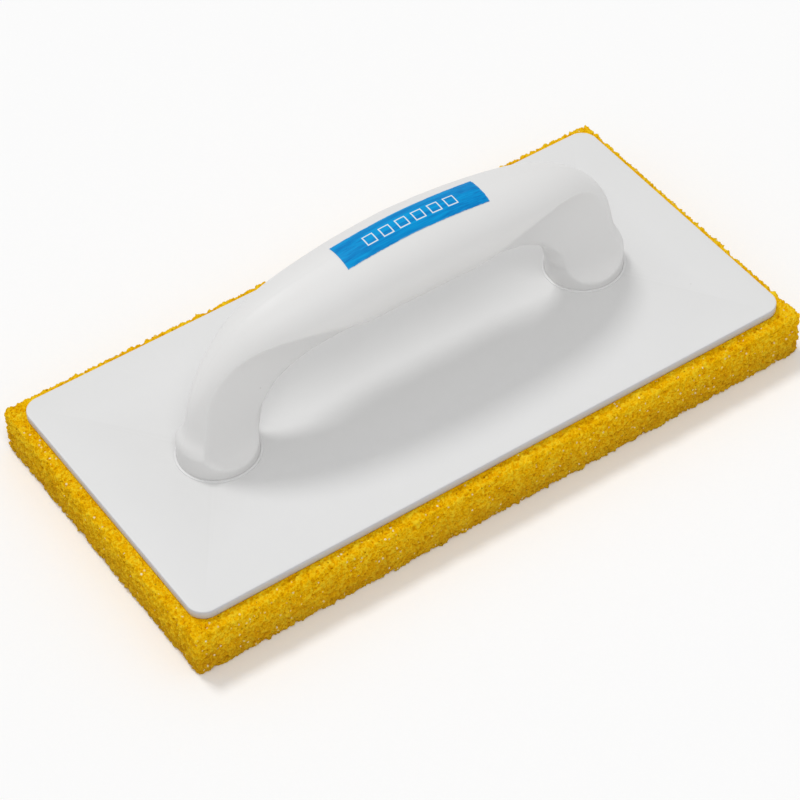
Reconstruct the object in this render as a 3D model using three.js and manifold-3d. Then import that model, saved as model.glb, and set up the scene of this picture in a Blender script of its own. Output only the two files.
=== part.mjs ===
// Sponge grout float: a foam pad glued under a flat plastic plate, with a bridge handle
// whose two feet are screwed to the plate from below.
// Millimetres, +Z up, X along the plate. The origin is the middle of the pad's underside.
import * as THREE from "three";
import { mergeVertices } from "three/addons/utils/BufferGeometryUtils.js";
import Module from "manifold-3d";

const wasm = await Module();
wasm.setup();

// ---- sizes ----
const PAD = { length: 280, width: 140, height: 20, corner: 4, soft: 2.4 };
const GLUE = { length: 262, width: 120, thick: 0.3, corner: 6 };
const PLATE = { length: 270, width: 128, thick: 4, corner: 7, chamfer: 0.4 };
const FOOT = { x: 85.6, halfX: 16.1, halfY: 15.2 };
const COLLAR = { gap: 0.3, wide: 0.8, high: 0.6, sunk: 1 };
const SCREW = { spread: 8, headR: 3.9, headHigh: 2.2, shankR: 2, long: 16, recess: 1.3, clear: 0.3 };
const CROSS = { long: 4.2, wide: 0.9 };
const BORE_DEPTH = 14;
// A tilted ellipsoid hollows each side of each leg; its outer half is drawn away by reach.
const SCOOP = { x: 70.7, y: 13.6, z: 27.7, along: 66.3, across: 8.2, up: 25.8, tilt: -4.6, reach: 15 };
// Below this height the hollow draws in to a rounded heel, which leaves a lip on the foot.
const HEEL = { x: 84.2, z: 17, halfX: 15.7, down: 14.3, floor: 0.98, square: 3, soft: 4 };
// The heel's last few millimetres also turn outwards.
const TURN = { out: 3.2, power: 5 };
const LABEL = { halfLength: 31.8, x: 2.7, back: 5.2, front: -7.2, lift: 0.04, thick: 0.2, corner: 0.6 };

// Heights of the stack.
const GLUE_Z = PAD.height;
const PLATE_Z = GLUE_Z + GLUE.thick;
const TOP_Z = PLATE_Z + PLATE.thick;

// Half of the handle from its middle to a foot. Each station is a flat oval between a point
// on the outer edge and a point on the inner edge, heights above the plate, and its half width.
const STATIONS = [
  { out: [0, 71.2], inn: [0, 37.8], half: 18.1 },
  { out: [13, 70.7], inn: [11, 37.8], half: 17.8 },
  { out: [27, 69.4], inn: [23, 37.2], half: 17.5 },
  { out: [41, 67.5], inn: [34, 35.6], half: 17 },
  { out: [54.2, 65.2], inn: [44, 33.3], half: 16.2 },
  { out: [65.3, 62], inn: [51.5, 30.8], half: 15 },
  { out: [74.5, 57.6], inn: [57, 28.2], half: 13.7 },
  { out: [81.7, 51.9], inn: [61, 25.3], half: 12.5 },
  { out: [87.9, 45], inn: [63.6, 22.3], half: 11.2 },
  { out: [92, 38.5], inn: [65.2, 19.4], half: 9.9 },
  { out: [94.8, 32.6], inn: [66, 17], half: 9 },
  { out: [96.6, 26.2], inn: [66.5, 15], half: 8.9 },
  { out: [97.7, 20.3], inn: [67.2, 13], half: 9.7 },
  { out: [99, 15.6], inn: [68, 11.2], half: 11.1 },
  { out: [100.8, 12.3], inn: [69, 9.8], half: 13 },
  { out: [101.6, 9.6], inn: [69.6, 8.4], half: 15 },
];
const RING_POINTS = 36;

const paint = (color, roughness, metalness = 0) =>
  new THREE.MeshStandardMaterial({ color, roughness, metalness });
const MATERIAL = {
  foam: paint(0xd8a512, 0.95),
  glue: paint(0xcfc39a, 0.6),
  plate: paint(0xe4e4e2, 0.4),
  handle: paint(0xe6e4e1, 0.42),
  steel: paint(0xb9bcc0, 0.35, 0.9),
  label: paint(0x007cc4, 0.4),
};

// ---- solids ----
function toSolid(geometry) {
  const bare = new THREE.BufferGeometry();
  const flat = geometry.index ? geometry.toNonIndexed() : geometry;
  bare.setAttribute("position", flat.getAttribute("position"));
  const merged = mergeVertices(bare, 1e-4);
  return new wasm.Manifold(
    new wasm.Mesh({
      numProp: 3,
      vertProperties: new Float32Array(merged.attributes.position.array),
      triVerts: new Uint32Array(merged.index.array),
    }),
  );
}

function toGeometry(solid) {
  const mesh = solid.getMesh();
  const geometry = new THREE.BufferGeometry();
  geometry.setAttribute("position", new THREE.BufferAttribute(mesh.vertProperties, 3));
  geometry.setIndex(new THREE.BufferAttribute(mesh.triVerts, 1));
  return geometry;
}

const cutAway = (body, tools) => tools.reduce((left, tool) => left.subtract(toSolid(tool)), toSolid(body));

function piece(name, geometry, material) {
  const mesh = new THREE.Mesh(geometry, material);
  mesh.name = name;
  return mesh;
}

function roundedRectangle(length, width, radius) {
  const x = length / 2 - radius;
  const y = width / 2 - radius;
  const shape = new THREE.Shape();
  shape.absarc(x, y, radius, 0, Math.PI / 2);
  shape.absarc(-x, y, radius, Math.PI / 2, Math.PI);
  shape.absarc(-x, -y, radius, Math.PI, Math.PI * 1.5);
  shape.absarc(x, -y, radius, Math.PI * 1.5, Math.PI * 2);
  shape.closePath();
  return shape;
}

// A rounded slab standing on height z, its rim rounded over by soft in the given number of steps.
function slab({ length, width, corner }, z, height, soft, steps) {
  const shape = roundedRectangle(length - 2 * soft, width - 2 * soft, Math.max(corner - soft, 0.5));
  const body = new THREE.ExtrudeGeometry(shape, {
    depth: height - 2 * soft,
    curveSegments: 6,
    bevelEnabled: soft > 0,
    bevelThickness: soft,
    bevelSize: soft,
    bevelSegments: steps,
  });
  return body.translate(0, 0, z + soft);
}

// An upright turned piece from a closed list of [radius, height].
function turned(profile, x, y, z, segments = 24) {
  const points = profile.map(([r, h]) => new THREE.Vector2(r, h));
  return new THREE.LatheGeometry(points, segments).rotateX(Math.PI / 2).translate(x, y, z);
}

// A closed skin over rings that all have the same number of points.
function skin(rings) {
  const count = rings[0].length;
  const points = rings.flat();
  const index = [];
  for (let r = 0; r + 1 < rings.length; r++) {
    for (let i = 0; i < count; i++) {
      const j = (i + 1) % count;
      const a = r * count + i;
      const b = r * count + j;
      index.push(a, b + count, b, a, a + count, b + count);
    }
  }
  const middle = (ring) =>
    ring.reduce((sum, p) => sum.add(p), new THREE.Vector3()).divideScalar(ring.length);
  const last = (rings.length - 1) * count;
  points.push(middle(rings[0]), middle(rings[rings.length - 1]));
  for (let i = 0; i < count; i++) {
    const j = (i + 1) % count;
    index.push(points.length - 2, i, j);
    index.push(points.length - 1, last + j, last + i);
  }
  const faces = new THREE.BufferAttribute(new Uint32Array(index), 1);
  return new THREE.BufferGeometry().setFromPoints(points).setIndex(faces);
}

// An oval ring whose long axis runs from the outer to the inner point in the XZ plane.
function ovalRing(out, inn, half, grow) {
  const middle = new THREE.Vector3((out.x + inn.x) / 2, 0, (out.y + inn.y) / 2);
  const axis = new THREE.Vector3(out.x - inn.x, 0, out.y - inn.y);
  const reach = axis.length() / 2 + grow;
  axis.normalize();
  return Array.from({ length: RING_POINTS }, (_, i) => {
    const angle = (i / RING_POINTS) * Math.PI * 2;
    const point = middle.clone().addScaledVector(axis, Math.cos(angle) * reach);
    point.y = Math.sin(angle) * (half + grow);
    return point;
  });
}

// The bridge shape before its legs are hollowed.
function bridge(grow, steps = 30) {
  const outer = new THREE.SplineCurve(STATIONS.map((s) => new THREE.Vector2(...s.out)));
  const inner = new THREE.SplineCurve(STATIONS.map((s) => new THREE.Vector2(...s.inn)));
  const width = new THREE.SplineCurve(STATIONS.map((s, i) => new THREE.Vector2(i, s.half)));
  const half = Array.from({ length: steps + 1 }, (_, i) => {
    const t = i / steps;
    return { out: outer.getPoint(t), inn: inner.getPoint(t), half: width.getPoint(t).y };
  });
  half[0].out.x = half[0].inn.x = 0;
  half.push({
    out: new THREE.Vector2(FOOT.x + FOOT.halfX, 0),
    inn: new THREE.Vector2(FOOT.x - FOOT.halfX, 0),
    half: FOOT.halfY,
  });
  const flip = (p) => new THREE.Vector2(-p.x, p.y);
  const other = half
    .slice(1)
    .reverse()
    .map((s) => ({ out: flip(s.out), inn: flip(s.inn), half: s.half }));
  const rings = [...other, ...half].map((s) => ovalRing(s.out, s.inn, s.half, grow));
  return skin(rings).translate(0, 0, TOP_Z);
}

function drawnIn(x, z, sideX) {
  const low = Math.min((HEEL.z - z) / HEEL.down, HEEL.floor);
  if (low <= 0) return { x, z, rise: 0 };
  const half = HEEL.halfX * (1 - low ** HEEL.square) ** (1 / HEEL.square);
  const out = (x - sideX * HEEL.x) / half;
  const near = out / (1 + Math.abs(out) ** HEEL.soft) ** (1 / HEEL.soft);
  const rise = TURN.out * low ** TURN.power;
  return { x: sideX * HEEL.x + near * half, z: HEEL.z - low * HEEL.down, rise };
}

function scoop(sideX, sideY) {
  const body = new THREE.SphereGeometry(1, 48, 32).scale(SCOOP.along, SCOOP.across, SCOOP.up);
  const spots = body.getAttribute("position");
  for (let i = 0; i < spots.count; i++) {
    const y = spots.getY(i);
    if (y * sideY > SCOOP.across * 0.01) spots.setY(i, y + SCOOP.reach * sideY);
  }
  body.rotateY(THREE.MathUtils.degToRad(SCOOP.tilt) * sideX);
  body.translate(sideX * SCOOP.x, sideY * SCOOP.y, SCOOP.z);
  for (let i = 0; i < spots.count; i++) {
    const { x, z, rise } = drawnIn(spots.getX(i), spots.getZ(i), sideX);
    spots.setXYZ(i, x, spots.getY(i) + rise * sideY, z);
  }
  return body.translate(0, 0, TOP_Z);
}

// ---- where the screws go ----
const SCREWS = [];
for (const side of [-1, 1]) {
  for (const step of [-1, 1]) SCREWS.push({ side, x: side * (FOOT.x + step * SCREW.spread), step });
}

// ---- pieces ----
function spongePad() {
  return piece("sponge_pad", slab(PAD, 0, PAD.height, PAD.soft, 4), MATERIAL.foam);
}

function adhesiveLayer() {
  return piece("adhesive_layer", slab(GLUE, GLUE_Z, GLUE.thick, 0, 1), MATERIAL.glue);
}

function basePlate() {
  const body = toSolid(slab(PLATE, PLATE_Z, PLATE.thick, PLATE.chamfer, 2));
  const collars = [-1, 1].map((side) => {
    const oval = (more) => {
      const ring = new THREE.Shape();
      ring.absellipse(side * FOOT.x, 0, FOOT.halfX + more, FOOT.halfY + more, 0, Math.PI * 2);
      return ring;
    };
    const ring = oval(COLLAR.gap + COLLAR.wide);
    ring.holes.push(oval(COLLAR.gap));
    const depth = COLLAR.high + COLLAR.sunk;
    const rim = new THREE.ExtrudeGeometry(ring, { depth, curveSegments: 24, bevelEnabled: false });
    return toSolid(rim.translate(0, 0, TOP_Z - COLLAR.sunk));
  });
  const holeR = SCREW.shankR + SCREW.clear;
  const sinkR = SCREW.headR + SCREW.clear;
  const sink = [
    [0, -1],
    [sinkR, -1],
    [sinkR, 0.5],
    [holeR, 0.5 + sinkR - holeR],
    [holeR, PLATE.thick + 1],
    [0, PLATE.thick + 1],
  ];
  const whole = collars.reduce((sum, collar) => sum.add(collar), body);
  const plate = SCREWS.reduce((left, { x }) => left.subtract(toSolid(turned(sink, x, 0, PLATE_Z))), whole);
  return piece("base_plate", toGeometry(plate), MATERIAL.plate);
}

function handle() {
  const boreR = SCREW.shankR + SCREW.clear;
  const bore = [
    [0, -1],
    [boreR, -1],
    [boreR, BORE_DEPTH - boreR],
    [0, BORE_DEPTH],
  ];
  const tools = [];
  for (const sideX of [-1, 1]) {
    for (const sideY of [-1, 1]) tools.push(scoop(sideX, sideY));
  }
  for (const { x } of SCREWS) tools.push(turned(bore, x, 0, TOP_Z));
  return piece("handle", toGeometry(cutAway(bridge(0), tools)), MATERIAL.handle);
}

function handleScrew({ side, x, step }) {
  const { headR, headHigh, shankR, long, recess } = SCREW;
  const profile = [
    [0, 0],
    [headR, 0],
    [headR, 0.3],
    [shankR, headHigh],
    [shankR, long - 3],
    [0.5, long],
    [0, long],
  ];
  const z = PLATE_Z + 0.1;
  const arms = [0, Math.PI / 2].map((turn) =>
    new THREE.BoxGeometry(CROSS.long, CROSS.wide, recess * 2).rotateZ(turn).translate(x, 0, z),
  );
  const solid = cutAway(turned(profile, x, 0, z), arms);
  const where = `${side < 0 ? "left" : "right"}_${side * step < 0 ? "a" : "b"}`;
  return piece(`handle_screw_${where}`, toGeometry(solid), MATERIAL.steel);
}

// A thin patch that follows the top of the grip.
function gripLabel() {
  const { halfLength, x, back, front, lift, thick, corner } = LABEL;
  const shell = toSolid(bridge(lift + thick)).subtract(toSolid(bridge(lift)));
  const outline = roundedRectangle(halfLength * 2, back - front, corner);
  const prism = new THREE.ExtrudeGeometry(outline, { depth: 60, curveSegments: 3, bevelEnabled: false });
  const window = toSolid(prism.translate(x, (back + front) / 2, TOP_Z + 56));
  return piece("grip_label", toGeometry(shell.intersect(window)), MATERIAL.label);
}

const float = new THREE.Group();
float.name = "grout_float";
float.add(spongePad(), adhesiveLayer(), basePlate(), handle(), ...SCREWS.map(handleScrew), gripLabel());

export default float;
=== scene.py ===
"""Sponge grout float: a foam pad, a plate and a bridge handle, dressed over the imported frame."""
import math

import bmesh
import bpy
import numpy as np
from mathutils import Matrix, Vector


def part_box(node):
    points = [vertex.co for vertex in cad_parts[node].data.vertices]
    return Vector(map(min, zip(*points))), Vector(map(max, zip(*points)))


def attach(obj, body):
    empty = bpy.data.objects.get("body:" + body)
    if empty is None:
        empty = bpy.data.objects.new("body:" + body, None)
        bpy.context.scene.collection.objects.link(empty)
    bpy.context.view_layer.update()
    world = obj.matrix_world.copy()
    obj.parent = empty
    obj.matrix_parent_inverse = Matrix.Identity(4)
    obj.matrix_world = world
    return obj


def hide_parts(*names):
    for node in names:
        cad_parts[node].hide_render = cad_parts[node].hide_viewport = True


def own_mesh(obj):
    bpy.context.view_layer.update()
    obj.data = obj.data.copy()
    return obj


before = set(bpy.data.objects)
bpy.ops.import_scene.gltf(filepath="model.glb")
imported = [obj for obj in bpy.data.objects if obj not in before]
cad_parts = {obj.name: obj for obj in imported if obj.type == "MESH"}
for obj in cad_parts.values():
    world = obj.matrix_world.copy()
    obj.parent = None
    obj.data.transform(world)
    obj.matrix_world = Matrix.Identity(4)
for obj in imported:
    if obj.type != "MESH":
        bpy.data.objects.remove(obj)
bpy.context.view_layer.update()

MM = 0.001
PLATE_TOP = 24.3 * MM

# ---- the float's own sizes, in millimetres ----
PAD_TRIM = 0.3
PAD_CORNER = 2.2
PAD_SHOULDER = 1.1
PAD_FOOT = 1.0
GLUED_DEPTH = 1
FOAM_GRAIN = 0.5
# How far the torn foam may stand above the pad's top, beside the plate.
FOAM_OVERFLOW = 0.6
# Name, kind, size and settings of each layer of the foam's relief, then its strength and middle.
FOAM_RELIEF = (
    ("cut waves", "CLOUDS", 5.0, {"noise_depth": 2, "noise_basis": "BLENDER_ORIGINAL"}, 1.3, 0.5),
    ("torn lumps", "CLOUDS", 1.7, {"noise_depth": 2, "noise_basis": "ORIGINAL_PERLIN"}, 2.7, 0.45),
    ("open cells", "VORONOI", 1.25, {"distance_metric": "DISTANCE"}, -1.0, 0.4),
)
CELL_WOBBLE = 0.7
PLATE_CORNER = 7.0
PLATE_EDGE = 0.5
FOOT_X, FOOT_LONG, FOOT_WIDE = 85.6, 16.1, 15.2
# The ring round each foot: how far out it reaches, its width, depth in the plate, height and edge.
COLLAR = {"out": 1.1, "wide": 1.16, "sunk": 1, "high": 0.42, "edge": 0.36}
# A screw's hole through the plate. Heights are above the plate's underside.
HOLE = {"radius": 2.3, "depth": 12, "head": 4.2, "cone_top": 2.4, "cone": 1.9, "below": 1.5}
# The blind hole above it in the foot, whose middle is above the plate's top.
BORE = {"radius": 2.3, "depth": 15, "middle": 6.5, "tip": 1.6}
SCREW_STEP = 8.0
# Outer edge (x, z), inner edge (x, z) and half width of the handle, from its middle to a foot.
HANDLE_STATIONS = [
    (0, 71.2, 0, 37.8, 18.1),
    (13, 70.7, 11, 37.8, 17.8),
    (27, 69.4, 23, 37.2, 17.5),
    (41, 67.5, 34, 35.6, 17),
    (54.2, 65.2, 44, 33.3, 16.2),
    (65.3, 62, 51.5, 30.8, 15),
    (74.5, 57.6, 57, 28.2, 13.7),
    (81.7, 51.9, 61, 25.3, 12.5),
    (87.9, 45, 63.6, 22.3, 11.2),
    (92, 38.5, 65.2, 19.4, 9.9),
    (94.8, 32.6, 66, 17, 9),
    (96.6, 26.2, 66.5, 15, 8.9),
    (97.7, 20.3, 67.2, 13, 9.7),
    (99, 15.6, 68, 11.2, 11.1),
    (100.8, 12.3, 69, 9.8, 13),
    (101.6, 9.6, 69.6, 8.4, 15),
]
RING_POINTS = 64
RINGS_PER_HALF = 44
HANDLE_GRAIN = 0.62
# The legs are lofted down into the plate, and cut off level just above it.
LEG_END, SOLE = -4, 0.04
# A tilted ellipsoid hollows each side of each leg; reach draws out its outer half.
THUMB_SCOOP = {"place": (70.7, 13.6, 27.7), "radii": (66.3, 8.2, 25.8), "tilt": -4.6, "reach": 15}
# Below z the hollow draws in to a heel and, over the last of it, turns outwards.
HEEL = {"x": 84.2, "z": 17, "half": 15.7, "down": 14.3, "floor": 0.98, "rise": 3.2, "turn": 5}
# Between these distances from the middle, and below this height, the hollows run out softly.
FADE_FROM, FADE_TO, FADE_BELOW = 50, 67, 56
SMOOTHING, FADE_SMOOTHING = 4, 190
# The mould's parting line: half its width, its height, and where it stops above the plate.
PARTING = {"half": 0.35, "high": 0.08, "stop": 3}
GRIP_MIDDLE = 50
LABEL_LIFT, LABEL_THICK = 0.05, 0.13


# ---- light and floor, in metres and degrees ----
SKY = 0.47
BACK_BOX = {"towards": (-0.09, 0.44, 0.89), "spread": 14, "strength": 0.99}
FRONT_BOX = {"towards": (-0.15, -0.42, 0.88), "spread": 26, "strength": 0.82}
LAMP_DISTANCE = 2
FLOOR_SIZE = 12
FLOOR_DROP = 0.3 * MM


# ---- bench tools ----
def put_down():
    """Leaves edit mode with nothing selected."""
    active = bpy.context.view_layer.objects.active
    if active and active.mode != "OBJECT":
        bpy.ops.object.mode_set(mode="OBJECT")
    bpy.ops.object.select_all(action="DESELECT")


def take(piece):
    """Makes the piece the only one selected."""
    put_down()
    piece.select_set(True)
    bpy.context.view_layer.objects.active = piece


def edit(piece):
    take(piece)
    bpy.ops.object.mode_set(mode="EDIT")


def done(piece):
    """Leaves edit mode and settles the piece at the origin."""
    bpy.ops.object.mode_set(mode="OBJECT")
    take(piece)
    bpy.ops.object.transform_apply(location=True, rotation=True, scale=True)
    return piece


def pick(piece, kind, test):
    """Selects, in edit mode, only the vertices, edges or faces that pass the test."""
    bpy.ops.mesh.select_mode(type={"verts": "VERT", "edges": "EDGE", "faces": "FACE"}[kind])
    bpy.ops.mesh.select_all(action="DESELECT")
    mesh = bmesh.from_edit_mesh(piece.data)
    mesh.verts.index_update()
    for item in getattr(mesh, kind):
        if test(item):
            item.select_set(True)
    mesh.select_flush_mode()
    bmesh.update_edit_mesh(piece.data)


def fit(piece, kind, **settings):
    """Adds a modifier and applies it."""
    take(piece)
    step = piece.modifiers.new(kind.title(), kind)
    for key, value in settings.items():
        setattr(step, key, value)
    bpy.ops.object.modifier_apply(modifier=step.name)


def join_solids(piece, tool, how):
    fit(piece, "BOOLEAN", object=tool, operation=how, solver="EXACT")
    bpy.data.objects.remove(tool, do_unlink=True)


def block(name, low, high):
    """A box between two corners."""
    put_down()
    low, high = Vector(low), Vector(high)
    bpy.ops.mesh.primitive_cube_add(size=1, location=(low + high) / 2)
    piece = bpy.context.object
    piece.name = name
    piece.scale = high - low
    bpy.ops.object.transform_apply(location=True, rotation=True, scale=True)
    return piece


def upright(edge):
    along = edge.verts[0].co - edge.verts[1].co
    return abs(along.z) > 0.9 * along.length


def level_at(height):
    """A test for edges that lie at this height."""
    return lambda edge: all(abs(v.co.z - height) < 1e-6 for v in edge.verts)


def round_over(piece, test, radius, steps):
    pick(piece, "edges", test)
    bpy.ops.mesh.bevel(offset=radius * MM, segments=steps, affect="EDGES", profile=0.5)


# ---- foam pad ----
def rows_of(items, what):
    """A vector of every item, one to a row."""
    values = np.empty(len(items) * 3)
    items.foreach_get(what, values)
    return values.reshape(-1, 3)


def under_plate(spots):
    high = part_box("base_plate")[1]
    return (np.abs(spots[:, 0]) < high[0]) & (np.abs(spots[:, 1]) < high[1])


def foam_texture(name, kind, size, settings):
    pattern = bpy.data.textures.new(name, kind)
    pattern.noise_scale = size * MM
    for key, value in settings.items():
        setattr(pattern, key, value)
    return pattern


def foam_pad():
    low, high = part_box("sponge_pad")
    low, high = Vector(low), Vector(high)
    trim = Vector((PAD_TRIM, PAD_TRIM, 0)) * MM
    pad = block("foam_pad", low + trim, high - trim)
    edit(pad)
    round_over(pad, upright, PAD_CORNER, 6)
    round_over(pad, level_at(high.z), PAD_SHOULDER, 5)
    round_over(pad, level_at(low.z), PAD_FOOT, 3)
    done(pad)
    fit(pad, "REMESH", mode="VOXEL", voxel_size=FOAM_GRAIN * MM, adaptivity=0)

    # The glued middle of the top stays flat; the rest is open foam.
    smooth = rows_of(pad.data.vertices, "co")
    outward = rows_of(pad.data.vertex_normals, "vector")
    glued = (smooth[:, 2] > high.z - GLUED_DEPTH * MM) & under_plate(smooth)
    loose = pad.vertex_groups.new(name="open foam")
    loose.add(np.nonzero(~glued)[0].tolist(), 1.0, "REPLACE")
    for name, kind, size, settings, strength, middle in FOAM_RELIEF:
        fit(
            pad,
            "DISPLACE",
            texture=foam_texture(name, kind, size, settings),
            texture_coords="LOCAL",
            direction="NORMAL",
            strength=strength * MM,
            mid_level=middle,
            vertex_group="open foam",
        )

    # Nothing stands up into the plate or hangs below the floor.
    torn = rows_of(pad.data.vertices, "co")
    torn[:, 2] = np.where(under_plate(torn), np.minimum(torn[:, 2], high.z), torn[:, 2])
    torn[:, 2] = np.clip(torn[:, 2], 0, high.z + FOAM_OVERFLOW * MM)
    pad.data.vertices.foreach_set("co", torn.reshape(-1))

    # How far each spot stands above the cut face colours the foam: painted light on the high spots
    # and painted shade in the hollows.
    rise = ((torn - smooth) * outward).sum(1) / MM
    layer = pad.data.attributes.new("rise", "FLOAT", "POINT")
    layer.data.foreach_set("value", rise.astype(np.float32))
    pad.data.update()
    pad.vertex_groups.clear()
    take(pad)
    bpy.ops.object.shade_smooth()
    return pad


# ---- plate ----
def oval_collar(side):
    """A low ring that the foot stands in."""
    low = PLATE_TOP - COLLAR["sunk"] * MM
    top = PLATE_TOP + COLLAR["high"] * MM
    put_down()
    bpy.ops.mesh.primitive_circle_add(
        vertices=96,
        radius=1,
        fill_type="NGON",
        location=(side * FOOT_X * MM, 0, low),
    )
    collar = bpy.context.object
    collar.scale = ((FOOT_LONG + COLLAR["out"]) * MM, (FOOT_WIDE + COLLAR["out"]) * MM, 1)
    bpy.ops.object.transform_apply(location=True, rotation=True, scale=True)
    edit(collar)
    bpy.ops.mesh.select_all(action="SELECT")
    bpy.ops.mesh.inset(thickness=COLLAR["wide"] * MM, depth=0)
    bpy.ops.mesh.delete(type="ONLY_FACE")
    bpy.ops.mesh.select_all(action="SELECT")
    bpy.ops.mesh.extrude_region_move(TRANSFORM_OT_translate={"value": (0, 0, top - low)})
    bpy.ops.mesh.select_all(action="SELECT")
    bpy.ops.mesh.normals_make_consistent(inside=False)
    round_over(collar, level_at(top), COLLAR["edge"], 4)
    return done(collar)


def round_bar(size, spot):
    """An upright bar to cut a hole with."""
    put_down()
    bpy.ops.mesh.primitive_cylinder_add(
        vertices=48,
        radius=size["radius"] * MM,
        depth=size["depth"] * MM,
        location=spot,
    )
    bar = bpy.context.object
    bpy.ops.object.transform_apply(location=True, rotation=True, scale=True)
    return bar


def countersink(x):
    """A screw's clearance hole, opening downwards for its head."""
    spot = (x, 0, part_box("base_plate")[0][2])
    tool = round_bar(HOLE, spot)
    edit(tool)
    pick(tool, "faces", lambda f: f.normal.z < -0.9)
    lift = HOLE["depth"] / 2 + HOLE["cone_top"]
    bpy.ops.transform.translate(value=(0, 0, lift * MM))
    cone = {"value": (0, 0, -HOLE["cone"] * MM)}
    bpy.ops.mesh.extrude_region_move(TRANSFORM_OT_translate=cone)
    wider = HOLE["head"] / HOLE["radius"]
    bpy.ops.transform.resize(value=(wider, wider, 1), center_override=spot)
    well = {"value": (0, 0, -HOLE["below"] * MM)}
    bpy.ops.mesh.extrude_region_move(TRANSFORM_OT_translate=well)
    return done(tool)


def for_each_screw(piece, make_tool):
    for side in (-1, 1):
        for step in (-1, 1):
            x = side * (FOOT_X + step * SCREW_STEP) * MM
            join_solids(piece, make_tool(x), "DIFFERENCE")


def plate():
    low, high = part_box("base_plate")
    slab = block("plate", low, (high[0], high[1], PLATE_TOP))
    edit(slab)
    round_over(slab, upright, PLATE_CORNER, 14)
    round_over(slab, level_at(PLATE_TOP), PLATE_EDGE, 4)
    round_over(slab, level_at(low[2]), PLATE_EDGE * 0.8, 2)
    done(slab)
    for side in (-1, 1):
        join_solids(slab, oval_collar(side), "UNION")
    for_each_screw(slab, countersink)
    take(slab)
    bpy.ops.object.shade_smooth_by_angle(angle=math.radians(35))
    return slab


# ---- handle ----
def between(values, t):
    """A smooth run through the values, t from 0 at the first to 1 at the last."""
    place = t * (len(values) - 1)
    i = min(int(place), len(values) - 2)
    u = place - i
    a, b, c, d = (values[min(max(k, 0), len(values) - 1)] for k in (i - 1, i, i + 1, i + 2))
    curve = 2 * b + (c - a) * u + (2 * a - 5 * b + 4 * c - d) * u**2
    return 0.5 * (curve + (3 * b - a - 3 * c + d) * u**3)


def handle_sections():
    """The handle's sections from one foot to the other."""
    columns = list(zip(*HANDLE_STATIONS))
    half = []
    for i in range(RINGS_PER_HALF + 1):
        half.append([between(column, i / RINGS_PER_HALF) for column in columns])
    half.append([FOOT_X + FOOT_LONG, LEG_END, FOOT_X - FOOT_LONG, LEG_END, FOOT_WIDE])
    other = [[-s[0], s[1], -s[2], s[3], s[4]] for s in reversed(half[1:])]
    return other + half


def add_section(section):
    """An oval ring across the handle."""
    out = Vector((section[0], 0, section[1] + PLATE_TOP / MM)) * MM
    inn = Vector((section[2], 0, section[3] + PLATE_TOP / MM)) * MM
    spread = out - inn
    middle = (out + inn) / 2
    bpy.ops.mesh.primitive_circle_add(vertices=RING_POINTS, radius=1, location=middle)
    size = (spread.length / 2, section[4] * MM, 1)
    bpy.ops.transform.resize(value=size, center_override=middle)
    lean = math.atan2(spread.z, spread.x)
    bpy.ops.transform.rotate(value=lean, orient_axis="Y", center_override=middle)


def draw_in(spot, side_x):
    """Low down the hollow draws in to a rounded heel, which leaves a lip on the foot."""
    low = min((HEEL["z"] - (spot.z - PLATE_TOP) / MM) / HEEL["down"], HEEL["floor"])
    if low <= 0:
        return
    half = HEEL["half"] * (1 - low**3) ** (1 / 3)
    out = (spot.x / MM - side_x * HEEL["x"]) / half
    near = out / (1 + abs(out) ** 4) ** 0.25
    spot.x = (side_x * HEEL["x"] + near * half) * MM
    spot.y += math.copysign(HEEL["rise"] * low ** HEEL["turn"] * MM, spot.y)
    spot.z = PLATE_TOP + (HEEL["z"] - low * HEEL["down"]) * MM


def thumb_scoop(side_x, side_y):
    """The body that hollows one side of one leg."""
    x, y, z = THUMB_SCOOP["place"]
    put_down()
    bpy.ops.mesh.primitive_uv_sphere_add(segments=96, ring_count=64, radius=1, location=(0, 0, 0))
    tool = bpy.context.object
    tool.scale = [radius * MM for radius in THUMB_SCOOP["radii"]]
    bpy.ops.object.transform_apply(location=True, rotation=True, scale=True)
    edit(tool)
    pick(tool, "verts", lambda v: v.co.y * side_y > 0.1 * MM)
    bpy.ops.transform.translate(value=(0, side_y * THUMB_SCOOP["reach"] * MM, 0))
    bpy.ops.object.mode_set(mode="OBJECT")
    tool.rotation_euler.y = math.radians(THUMB_SCOOP["tilt"]) * side_x
    tool.location = (side_x * x * MM, side_y * y * MM, PLATE_TOP + z * MM)
    bpy.ops.object.transform_apply(location=True, rotation=True, scale=True)
    for vertex in tool.data.vertices:
        draw_in(vertex.co, side_x)
    return tool


def screw_bore(x):
    """A blind hole in the foot, with a rounded end."""
    tool = round_bar(BORE, (x, 0, PLATE_TOP + BORE["middle"] * MM))
    edit(tool)
    pick(tool, "faces", lambda f: f.normal.z > 0.9)
    bpy.ops.mesh.bevel(offset=BORE["tip"] * MM, segments=3, affect="EDGES")
    return done(tool)


def loft(name, sections):
    """A closed skin over a row of oval sections."""
    grip = block(name, (0, 0, 0), (MM, MM, MM))
    edit(grip)
    bpy.ops.mesh.select_all(action="SELECT")
    bpy.ops.mesh.delete(type="VERT")
    for section in sections:
        add_section(section)
    for ring in range(len(sections) - 1):
        span = range(ring * RING_POINTS, (ring + 2) * RING_POINTS)
        pick(grip, "verts", lambda v: v.index in span)
        bpy.ops.mesh.bridge_edge_loops()
    for ring in (0, len(sections) - 1):
        span = range(ring * RING_POINTS, (ring + 1) * RING_POINTS)
        pick(grip, "verts", lambda v: v.index in span)
        bpy.ops.mesh.edge_face_add()
    bpy.ops.mesh.select_all(action="SELECT")
    bpy.ops.mesh.normals_make_consistent(inside=False)
    return done(grip)


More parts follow.
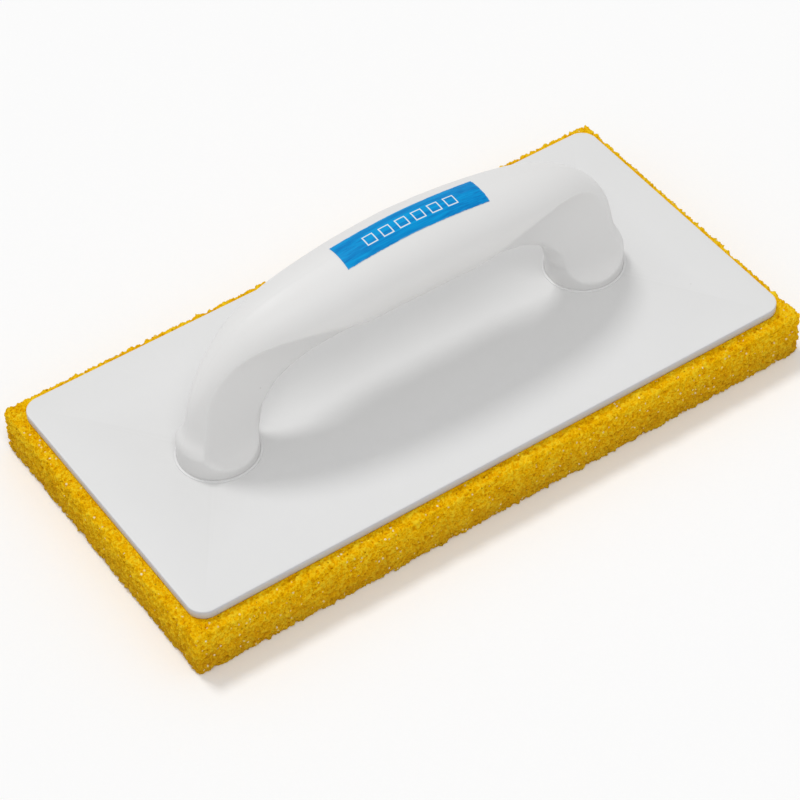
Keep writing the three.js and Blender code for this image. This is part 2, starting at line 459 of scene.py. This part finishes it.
def soften_hollows(grip):
    """The hollows run out softly under the grip, and stay crisp on the legs."""
    fading = grip.vertex_groups.new(name="fading hollow")
    for vertex in grip.data.vertices:
        weight = (FADE_TO - abs(vertex.co.x) / MM) / (FADE_TO - FADE_FROM)
        if weight > 0 and vertex.co.z < PLATE_TOP + FADE_BELOW * MM:
            fading.add([vertex.index], min(weight, 1), "REPLACE")
    fit(grip, "SMOOTH", factor=0.5, iterations=FADE_SMOOTHING, vertex_group="fading hollow")
    grip.vertex_groups.clear()


def raise_parting_line(grip):
    """A hair of flash stands on the line where the two halves of the mould met."""
    edit(grip)
    for y in (-PARTING["half"], 0, PARTING["half"]):
        bpy.ops.mesh.select_all(action="SELECT")
        bpy.ops.mesh.bisect(plane_co=(0, y * MM, 0), plane_no=(0, 1, 0))
    clear = PLATE_TOP + PARTING["stop"] * MM
    pick(grip, "verts", lambda v: abs(v.co.y) < 0.01 * MM and v.co.z > clear)
    bpy.ops.transform.shrink_fatten(value=PARTING["high"] * MM)
    done(grip)


def bridge_handle():
    grip = loft("bridge_handle", handle_sections())
    for side_x in (-1, 1):
        for side_y in (-1, 1):
            join_solids(grip, thumb_scoop(side_x, side_y), "DIFFERENCE")
    fit(grip, "REMESH", mode="VOXEL", voxel_size=HANDLE_GRAIN * MM, adaptivity=0)
    fit(grip, "SMOOTH", factor=0.5, iterations=SMOOTHING)
    soften_hollows(grip)
    edit(grip)
    bpy.ops.mesh.select_all(action="SELECT")
    sole = (0, 0, PLATE_TOP + SOLE * MM)
    bpy.ops.mesh.bisect(plane_co=sole, plane_no=(0, 0, -1), use_fill=True, clear_outer=True)
    bpy.ops.object.mode_set(mode="OBJECT")
    for_each_screw(grip, screw_bore)
    raise_parting_line(grip)
    bpy.ops.object.shade_smooth_by_angle(angle=math.radians(50))
    return grip


def grip_label(grip):
    """A patch lifted off the top of the grip and given the thickness of printed foil."""
    low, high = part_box("grip_label")
    take(grip)
    bpy.ops.object.duplicate(linked=False)
    label = bpy.context.object
    label.name = "grip_foil"
    edit(label)
    # The first cut passes between the grip's top and its underside; the rest trim the patch.
    for place, way in (
        ((0, 0, PLATE_TOP + GRIP_MIDDLE * MM), (0, 0, -1)),
        ((low[0], 0, 0), (-1, 0, 0)),
        ((high[0], 0, 0), (1, 0, 0)),
        ((0, low[1], 0), (0, -1, 0)),
        ((0, high[1], 0), (0, 1, 0)),
    ):
        bpy.ops.mesh.select_all(action="SELECT")
        bpy.ops.mesh.bisect(plane_co=place, plane_no=way, clear_outer=True)
    bpy.ops.mesh.select_all(action="SELECT")
    bpy.ops.transform.shrink_fatten(value=LABEL_LIFT * MM)
    done(label)
    fit(label, "SOLIDIFY", thickness=LABEL_THICK * MM, offset=1, use_even_offset=True)
    bpy.ops.object.shade_smooth_by_angle(angle=math.radians(40))
    return label


# ---- camera, floor and light ----
def camera():
    """Looks down along the float, from its near left."""
    eye = bpy.data.cameras.new("camera")
    eye.sensor_width = 36
    eye.lens = 133.4264
    eye.clip_start = 0.05
    eye.clip_end = 20
    spot = bpy.data.objects.new("camera", eye)
    bpy.context.scene.collection.objects.link(spot)
    across = (0.8219081, -0.5692305, -0.0210633)
    down = (-0.4263043, -0.5901708, -0.6855385)
    ahead = (0.3777985, 0.5724291, -0.7277316)
    turn = Matrix((across, [-d for d in down], [-a for a in ahead])).transposed().to_4x4()
    spot.matrix_world = Matrix.Translation((-0.4414634, -0.6634566, 0.8199441 + PLATE_TOP)) @ turn
    bpy.context.scene.camera = spot


def far_soft_box(name, towards, spread, strength):
    """A soft box so far off that its light is even over the bench. Spread is in degrees."""
    lamp = bpy.data.lights.new(name, "SUN")
    lamp.angle = math.radians(spread)
    lamp.energy = strength
    spot = bpy.data.objects.new(name, lamp)
    spot.location = Vector(towards).normalized() * LAMP_DISTANCE
    spot.rotation_euler = Vector(towards).to_track_quat("Z", "Y").to_euler()
    bpy.context.scene.collection.objects.link(spot)


def studio():
    world = bpy.data.worlds.new("studio")
    world.use_nodes = True
    back = world.node_tree.nodes["Background"]
    back.inputs["Color"].default_value = (1, 1, 1, 1)
    back.inputs["Strength"].default_value = SKY
    scene = bpy.context.scene
    scene.world = world
    scene.view_settings.view_transform = "Standard"
    scene.view_settings.look = "None"
    far_soft_box("back soft box", **BACK_BOX)
    far_soft_box("front soft box", **FRONT_BOX)
    put_down()
    bpy.ops.mesh.primitive_plane_add(size=1, location=(0, 0, -FLOOR_DROP))
    floor = bpy.context.object
    floor.name = "floor"
    floor.scale = (FLOOR_SIZE, FLOOR_SIZE, 1)
    bpy.ops.object.transform_apply(location=True, rotation=True, scale=True)
    floor.data.materials.append(floor_paper())


# ---- finishes ----
class Finish:
    """Short ways to wire nodes in a material or in a group."""

    def __init__(self, tree):
        self.tree = tree

    def add(self, kind, **settings):
        """A new node with its own settings. Its inputs are given by feed."""
        node = self.tree.nodes.new(kind)
        for key, value in settings.items():
            setattr(node, key, value)
        return node

    def put(self, socket, value):
        """Links the socket to another, or sets it to a plain value."""
        if isinstance(value, bpy.types.NodeSocket):
            self.tree.links.new(value, socket)
        else:
            socket.default_value = value

    def feed(self, node, **sockets):
        """Fills inputs by name, with underscores for spaces, or by number as n0, n1 and n2."""
        for key, value in sockets.items():
            numbered = key[1:].isdigit()
            self.put(node.inputs[int(key[1:]) if numbered else key.replace("_", " ")], value)
        return node

    def sum(self, how, a, b=0.0, c=0.0):
        node = self.add("ShaderNodeMath", operation=how)
        self.feed(node, n0=a, n1=b, n2=c)
        return node.outputs[0]

    def object_place(self):
        """Where a spot is on the object, in metres."""
        return self.add("ShaderNodeTexCoord").outputs["Object"]

    def split(self, vector):
        """The X, Y and Z of a vector."""
        return self.feed(self.add("ShaderNodeSeparateXYZ"), Vector=vector).outputs

    def facing(self):
        """The X, Y and Z of the surface's own direction."""
        return self.split(self.add("ShaderNodeNewGeometry").outputs["Normal"])

    def noise(self, where, scale, detail, roughness):
        node = self.add("ShaderNodeTexNoise")
        self.feed(node, Vector=where, Scale=scale, Detail=detail, Roughness=roughness)
        return node.outputs["Fac"]

    def voronoi(self, where, scale):
        return self.feed(self.add("ShaderNodeTexVoronoi"), Vector=where, Scale=scale).outputs

    def ramp(self, value, low, high, start=0.0, end=1.0):
        node = self.add("ShaderNodeMapRange")
        self.feed(node, Value=value, From_Min=low, From_Max=high, To_Min=start, To_Max=end)
        return node.outputs["Result"]

    def blend(self, mask, first, second, share=None):
        """The first colour, going over to the second where the mask is 1, or its share of it."""
        if share is not None:
            mask = self.sum("MULTIPLY", mask, share)
        node = self.add("ShaderNodeMix", data_type="RGBA")
        sockets = {socket.identifier: socket for socket in node.inputs}
        self.put(sockets["Factor_Float"], mask)
        self.put(sockets["A_Color"], first)
        self.put(sockets["B_Color"], second)
        return node.outputs[2]

    def bump(self, height, strength, distance):
        node = self.add("ShaderNodeBump")
        self.feed(node, Height=height, Strength=strength, Distance=distance)
        return node.outputs["Normal"]

    def effect(self, group, **sockets):
        node = self.add("ShaderNodeGroup", node_tree=group)
        return self.feed(node, **sockets).outputs


def new_material(name):
    """A material, the tools to wire it with, and its surface."""
    material = bpy.data.materials.new(name)
    material.use_nodes = True
    finish = Finish(material.node_tree)
    return material, finish, material.node_tree.nodes["Principled BSDF"]


def new_effect(name, inputs, outputs):
    """An empty node group with named number inputs and outputs."""
    group = bpy.data.node_groups.new(name, "ShaderNodeTree")
    for label, value in inputs:
        socket = group.interface.new_socket(label, in_out="INPUT", socket_type="NodeSocketFloat")
        socket.default_value = value
    for label in outputs:
        group.interface.new_socket(label, in_out="OUTPUT", socket_type="NodeSocketFloat")
    finish = Finish(group)
    start = finish.add("NodeGroupInput")
    end = finish.add("NodeGroupOutput")
    return group, finish, start.outputs, end, finish.object_place()


def make_grain():
    """Fine and broad unevenness of a moulded or cast skin."""
    group, finish, given, end, where = new_effect(
        "skin grain", [("Fine", 1600.0), ("Broad", 45.0)], ["Height", "Cloud"]
    )
    fine = finish.noise(where, given["Fine"], 3, 0.6)
    broad = finish.noise(where, given["Broad"], 2, 0.5)
    height = finish.sum("MULTIPLY_ADD", fine, 0.25, finish.sum("MULTIPLY", broad, 0.75))
    finish.feed(end, Height=height, Cloud=broad)
    return group


def make_wear_and_crease_shade():
    """Rubbed convex edges, broken up by a patchy noise. Set low, the mask lays painted highlights
    on soft ridges; Hollow is painted shade in concave creases.
    """
    group, finish, given, end, where = new_effect(
        "edge wear", [("Start", 0.52), ("Full", 0.6), ("Patch", 220.0)], ["Mask", "Hollow"]
    )
    bend = finish.add("ShaderNodeNewGeometry").outputs["Pointiness"]
    edge = finish.ramp(bend, given["Start"], given["Full"])
    patch = finish.ramp(finish.noise(where, given["Patch"], 3, 0.6), 0.35, 0.6)
    hollow = finish.ramp(bend, 0.49, 0.42)
    finish.feed(end, Mask=finish.sum("MULTIPLY", edge, patch), Hollow=hollow)
    return group


def make_dust():
    """Fine pale dust that lies on what faces up."""
    group, finish, given, end, where = new_effect(
        "settled dust", [("Size", 2600.0), ("Amount", 0.5)], ["Mask"]
    )
    up = finish.ramp(finish.facing()["Z"], 0.2, 0.95)
    speck = finish.ramp(finish.noise(where, given["Size"], 2, 0.7), 0.58, 0.72)
    drift = finish.ramp(finish.noise(where, 30.0, 2, 0.5), 0.3, 0.7)
    mask = finish.sum("MULTIPLY", finish.sum("MULTIPLY", up, speck), drift)
    finish.feed(end, Mask=finish.sum("MULTIPLY", mask, given["Amount"]))
    return group


def make_scatter():
    """Loose round specks. Share is how many cells hold one, and Size its part of a cell."""
    group, finish, given, end, where = new_effect(
        "scattered specks", [("Scale", 900.0), ("Size", 0.3), ("Share", 0.1)], ["Mask", "Tone"]
    )
    cell = finish.voronoi(where, given["Scale"])
    tone = finish.add("ShaderNodeSeparateColor")
    finish.feed(tone, Color=cell["Color"])
    chosen = finish.sum("LESS_THAN", tone.outputs["Red"], given["Share"])
    core = finish.sum("MULTIPLY", given["Size"], 0.6)
    inside = finish.ramp(cell["Distance"], given["Size"], core)
    finish.feed(end, Mask=finish.sum("MULTIPLY", chosen, inside), Tone=tone.outputs["Green"])
    return group


def make_strokes():
    """Short fine strokes along X, as a brush or a print roller leaves."""
    group, finish, given, end, where = new_effect(
        "long strokes", [("Along", 60.0), ("Across", 2600.0)], ["Value", "Bands"]
    )
    spread = finish.add("ShaderNodeCombineXYZ")
    finish.feed(spread, X=given["Along"], Y=given["Across"], Z=given["Across"])
    stretched = finish.add("ShaderNodeMapping")
    finish.feed(stretched, Vector=where, Scale=spread.outputs["Vector"])
    fine = finish.noise(stretched.outputs["Vector"], 1.0, 2, 0.6)
    bands = finish.noise(stretched.outputs["Vector"], 0.22, 2, 0.5)
    finish.feed(end, Value=fine, Bands=bands)
    return group


def open_foam(effects):
    """Cut yellow foam: painted light on its torn high spots, painted shade in its cell bottoms and
    a few painted glints.
    """
    material, finish, surface = new_material("open yellow foam")
    where = finish.object_place()
    rise = finish.add("ShaderNodeAttribute", attribute_name="rise").outputs["Fac"]
    # Two sizes of cell, both pushed a little out of shape.
    drift = finish.add("ShaderNodeTexNoise")
    finish.feed(drift, Vector=where, Scale=900.0)
    wobble = finish.add("ShaderNodeVectorMath", operation="MULTIPLY_ADD")
    finish.feed(wobble, n0=drift.outputs["Color"], n1=[CELL_WOBBLE * MM] * 3, n2=where)
    cells = finish.voronoi(wobble.outputs["Vector"], 1150.0)
    fine = finish.voronoi(wobble.outputs["Vector"], 2300.0)
    walls = finish.sum("MULTIPLY_ADD", fine["Distance"], 0.45, cells["Distance"])
    # High spots and cell walls lighten the foam as painted light, leaving painted shade in the
    # hollows and cell middles; broad patches vary its tone.
    patches = finish.noise(where, 85.0, 3, 0.6)
    level = finish.sum("MULTIPLY_ADD", rise, 0.28, finish.sum("MULTIPLY_ADD", walls, 0.5, 0.2))
    level = finish.sum("MULTIPLY_ADD", patches, 0.42, level)
    tone = finish.add("ShaderNodeValToRGB")
    steps = tone.color_ramp.elements
    steps[0].position = 0.32
    steps[0].color = (0.5, 0.185, 0.0, 1)
    steps[1].position = 1.0
    steps[1].color = (0.98, 0.66, 0.02, 1)
    for place, color in ((0.52, (0.76, 0.36, 0.0, 1)), (0.76, (0.93, 0.51, 0.0, 1))):
        steps.new(place).color = color
    finish.feed(tone, Fac=level)
    # Low down the foam is painted browner in blotches, as painted shade that deepens towards the
    # floor.
    blotch = finish.noise(where, 140.0, 3, 0.65)
    above = finish.sum("MULTIPLY_ADD", blotch, -14 * MM, finish.split(where)["Z"])
    painted_low_shade = finish.ramp(above, 9 * MM, -5 * MM)
    color = finish.blend(painted_low_shade, tone.outputs["Color"], (0.42, 0.2, 0.01, 1), 0.5)
    # Pits are painted shade, dark specks for the deepest cells; glints are painted highlights,
    # pale specks of light off the struts.
    pits = finish.effect(effects["scatter"], Scale=480.0, Size=0.2, Share=0.13)
    glints = finish.effect(effects["scatter"], Scale=640.0, Size=0.36, Share=0.11)
    color = finish.blend(pits["Mask"], color, (0.34, 0.14, 0.0, 1), 0.6)
    strength = finish.ramp(glints["Tone"], 0, 1, 0.25, 1)
    color = finish.blend(glints["Mask"], color, (1.0, 0.93, 0.6, 1), strength)
    height = finish.sum("SUBTRACT", walls, finish.sum("MULTIPLY", pits["Mask"], 0.8))
    normal = finish.bump(height, 0.75, 0.6 * MM)
    rough = finish.ramp(glints["Mask"], 0, 1, 0.92, 0.35)
    finish.feed(surface, Base_Color=color, Normal=normal, Roughness=rough)
    surface.inputs["Specular IOR Level"].default_value = 0.04
    return material


def moulded_plastic(name, effects, tint, shade, wall_shade, rough, grain, wear_and_light, rub_and_light):
    """
    Satin off-white plastic with a moulded skin, rubbed edges and a little site dust, with painted
    shade in its creases.
    Tint and shade are its two greys. The wall share paints shade, darker and cooler, on the
    plate's upright cut edge.
    The last two settings say how sharp an edge has to be to look rubbed; set low, as on the grip,
    they lay painted highlights on soft ridges and lips.
    """
    material, finish, surface = new_material(name)
    skin = finish.effect(effects["grain"], Fine=grain, Broad=38.0)
    rubbed_and_lit = finish.effect(effects["wear_and_light"], Start=wear_and_light, Full=wear_and_light + rub_and_light, Patch=260.0)
    dust = finish.effect(effects["dust"], Size=2400.0, Amount=0.35)
    specks = finish.effect(effects["scatter"], Scale=160.0, Size=0.09, Share=0.05)
    color = finish.blend(skin["Cloud"], tint, shade)
    # Painted shade: the upright sides below the plate's top go darker and cooler.
    side_on = finish.ramp(finish.sum("ABSOLUTE", finish.facing()["Z"]), 0.75, 0.3)
    height = finish.split(finish.object_place())["Z"]
    below_top = finish.ramp(height, PLATE_TOP, PLATE_TOP - 0.3 * MM)
    painted_side_shade = finish.sum("MULTIPLY", side_on, below_top)
    color = finish.blend(painted_side_shade, color, (0.57, 0.62, 0.72, 1), wall_shade)
    # Sharp convex edges go lighter: rubbed wear, and a painted highlight where the threshold is
    # low, as on the grip.
    color = finish.blend(rubbed_and_lit["Mask"], color, (0.86, 0.86, 0.85, 1), 0.5)
    # Painted shade darkens the concave creases.
    color = finish.blend(rubbed_and_lit["Hollow"], color, (0.5, 0.49, 0.47, 1), 0.25)
    color = finish.blend(dust["Mask"], color, (0.7, 0.68, 0.64, 1), 0.5)
    color = finish.blend(specks["Mask"], color, (0.45, 0.43, 0.4, 1), 0.35)
    gloss = finish.ramp(skin["Height"], 0.3, 0.7, rough - 0.04, rough + 0.06)
    gloss = finish.sum("MULTIPLY_ADD", dust["Mask"], 0.2, gloss)
    normal = finish.bump(skin["Height"], 0.22, 0.08 * MM)
    finish.feed(surface, Base_Color=color, Roughness=gloss, Normal=normal)
    surface.inputs["Specular IOR Level"].default_value = 0.33
    return material


def printed_foil(effects, middle):
    """Blue foil, brushed lengthwise, with a row of plain tile outlines."""
    material, finish, surface = new_material("blue printed foil")
    strokes = finish.effect(effects["strokes"], Along=55.0, Across=2400.0)
    spot = finish.split(finish.object_place())

    def off_line(value, line):
        return finish.sum("ABSOLUTE", finish.sum("SUBTRACT", value, line))

    # Squares repeat along X. The start of the count lies far off the label's left end.
    pitch, half, line = 7.2 * MM, 2.1 * MM, 0.28 * MM
    shift = finish.sum("SUBTRACT", spot["X"], middle[0] - 50 * pitch)
    across = off_line(finish.sum("FLOORED_MODULO", shift, pitch), pitch / 2)
    reach = finish.sum("MAXIMUM", across, off_line(spot["Y"], middle[1]))
    outline = finish.ramp(off_line(reach, half), line, line * 0.7)
    in_row = finish.sum("LESS_THAN", off_line(spot["X"], middle[0]), 3 * pitch)
    outline = finish.sum("MULTIPLY", outline, in_row)

    fine = finish.ramp(strokes["Value"], 0.3, 0.7)
    broad = finish.ramp(strokes["Bands"], 0.45, 0.7)
    color = finish.blend(fine, (0.0, 0.17, 0.5, 1), (0.0, 0.3, 0.69, 1))
    color = finish.blend(broad, color, (0.0, 0.36, 0.76, 1))
    rubbed_and_lit = finish.effect(effects["wear_and_light"], Start=0.53, Full=0.62, Patch=500.0)
    color = finish.blend(outline, color, (0.82, 0.86, 0.88, 1), 0.92)
    color = finish.blend(rubbed_and_lit["Mask"], color, (0.6, 0.7, 0.78, 1), 0.35)
    gloss = finish.ramp(strokes["Value"], 0.2, 0.8, 0.28, 0.42)
    normal = finish.bump(strokes["Value"], 0.12, 0.04 * MM)
    finish.feed(surface, Base_Color=color, Roughness=gloss, Normal=normal)
    surface.inputs["Specular IOR Level"].default_value = 0.12
    return material


def plated_steel(effects):
    """Zinc plating with turning marks and a dull patchy bloom."""
    material, finish, surface = new_material("zinc plated steel")
    skin = finish.effect(effects["grain"], Fine=2600.0, Broad=420.0)
    strokes = finish.effect(effects["strokes"], Along=2200.0, Across=320.0)
    rubbed_and_lit = finish.effect(effects["wear_and_light"], Start=0.52, Full=0.6, Patch=900.0)
    color = finish.blend(skin["Cloud"], (0.47, 0.48, 0.5, 1), (0.66, 0.67, 0.68, 1))
    color = finish.blend(rubbed_and_lit["Mask"], color, (0.8, 0.8, 0.8, 1))
    gloss = finish.ramp(strokes["Value"], 0.3, 0.7, 0.24, 0.44)
    normal = finish.bump(strokes["Value"], 0.2, 0.05 * MM)
    finish.feed(surface, Base_Color=color, Roughness=gloss, Normal=normal)
    surface.inputs["Metallic"].default_value = 0.95
    return material


def rolled_glue(effects):
    """Amber contact glue with roller stipple and thin places."""
    material, finish, surface = new_material("contact glue")
    skin = finish.effect(effects["grain"], Fine=700.0, Broad=90.0)
    blobs = finish.effect(effects["scatter"], Scale=420.0, Size=0.35, Share=0.3)
    color = finish.blend(skin["Cloud"], (0.5, 0.36, 0.13, 1), (0.72, 0.6, 0.33, 1))
    color = finish.blend(blobs["Mask"], color, (0.36, 0.24, 0.07, 1), 0.5)
    gloss = finish.ramp(skin["Height"], 0.3, 0.7, 0.35, 0.6)
    normal = finish.bump(finish.sum("ADD", skin["Height"], blobs["Mask"]), 0.4, 0.2 * MM)
    finish.feed(surface, Base_Color=color, Roughness=gloss, Normal=normal)
    return material


def floor_paper():
    """Matt white paper with a faint fibre."""
    material, finish, surface = new_material("pale paper")
    fibre = finish.noise(finish.object_place(), 900.0, 2, 0.6)
    tint = finish.blend(fibre, (0.975, 0.975, 0.975, 1), (0.99, 0.99, 0.99, 1))
    # From below the floor is clear, and it lets light up to the face that rests on it.
    behind = finish.add("ShaderNodeNewGeometry").outputs["Backfacing"]
    path = finish.add("ShaderNodeLightPath").outputs
    close = finish.sum("LESS_THAN", path["Ray Length"], 2.5 * MM)
    unseen = finish.sum("SUBTRACT", 1.0, path["Is Camera Ray"])
    clear = finish.sum("MAXIMUM", behind, finish.sum("MULTIPLY", close, unseen))
    finish.feed(surface, Base_Color=tint, Alpha=finish.sum("SUBTRACT", 1.0, clear))
    surface.inputs["Roughness"].default_value = 0.95
    surface.inputs["Specular IOR Level"].default_value = 0.1
    return material


def dress(piece, material, body, node):
    """Gives a piece its material, the body it moves with and the frame piece it replaces."""
    piece.data.materials.clear()
    piece.data.materials.append(material)
    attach(piece, body)
    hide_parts(node)


def keep(node, material):
    """A frame piece whose shape is right gets its finish."""
    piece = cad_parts[node]
    if not piece.material_slots:
        piece.data.materials.append(material)
    for place in piece.material_slots:
        place.material = material


camera()
pad = foam_pad()
slab = plate()
grip = bridge_handle()
foil = grip_label(grip)

effects = {
    "grain": make_grain(),
    "wear_and_light": make_wear_and_crease_shade(),
    "dust": make_dust(),
    "scatter": make_scatter(),
    "strokes": make_strokes(),
}
white_plate = moulded_plastic(
    "satin plate plastic",
    effects,
    tint=(0.755, 0.755, 0.752, 1),
    shade=(0.77, 0.77, 0.768, 1),
    wall_shade=0.75,
    rough=0.42,
    grain=1500.0,
    wear_and_light=0.53,
    rub_and_light=0.08,
)
white_grip = moulded_plastic(
    "moulded grip plastic",
    effects,
    tint=(0.79, 0.785, 0.778, 1),
    shade=(0.815, 0.81, 0.803, 1),
    wall_shade=0.0,
    rough=0.47,
    grain=1100.0,
    # A low edge threshold lays painted highlights on the grip's soft ridges and lips.
    wear_and_light=0.507,
    rub_and_light=0.03,
)
low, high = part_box("grip_label")
label_middle = ((low[0] + high[0]) / 2, (low[1] + high[1]) / 2)
dress(pad, open_foam(effects), "pad", "sponge_pad")
dress(slab, white_plate, "float", "base_plate")
dress(grip, white_grip, "float", "handle")
dress(foil, printed_foil(effects, label_middle), "float", "grip_label")
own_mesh(pad)
zinc = plated_steel(effects)
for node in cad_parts:
    if node.startswith("handle_screw"):
        keep(node, zinc)
keep("adhesive_layer", rolled_glue(effects))
studio()
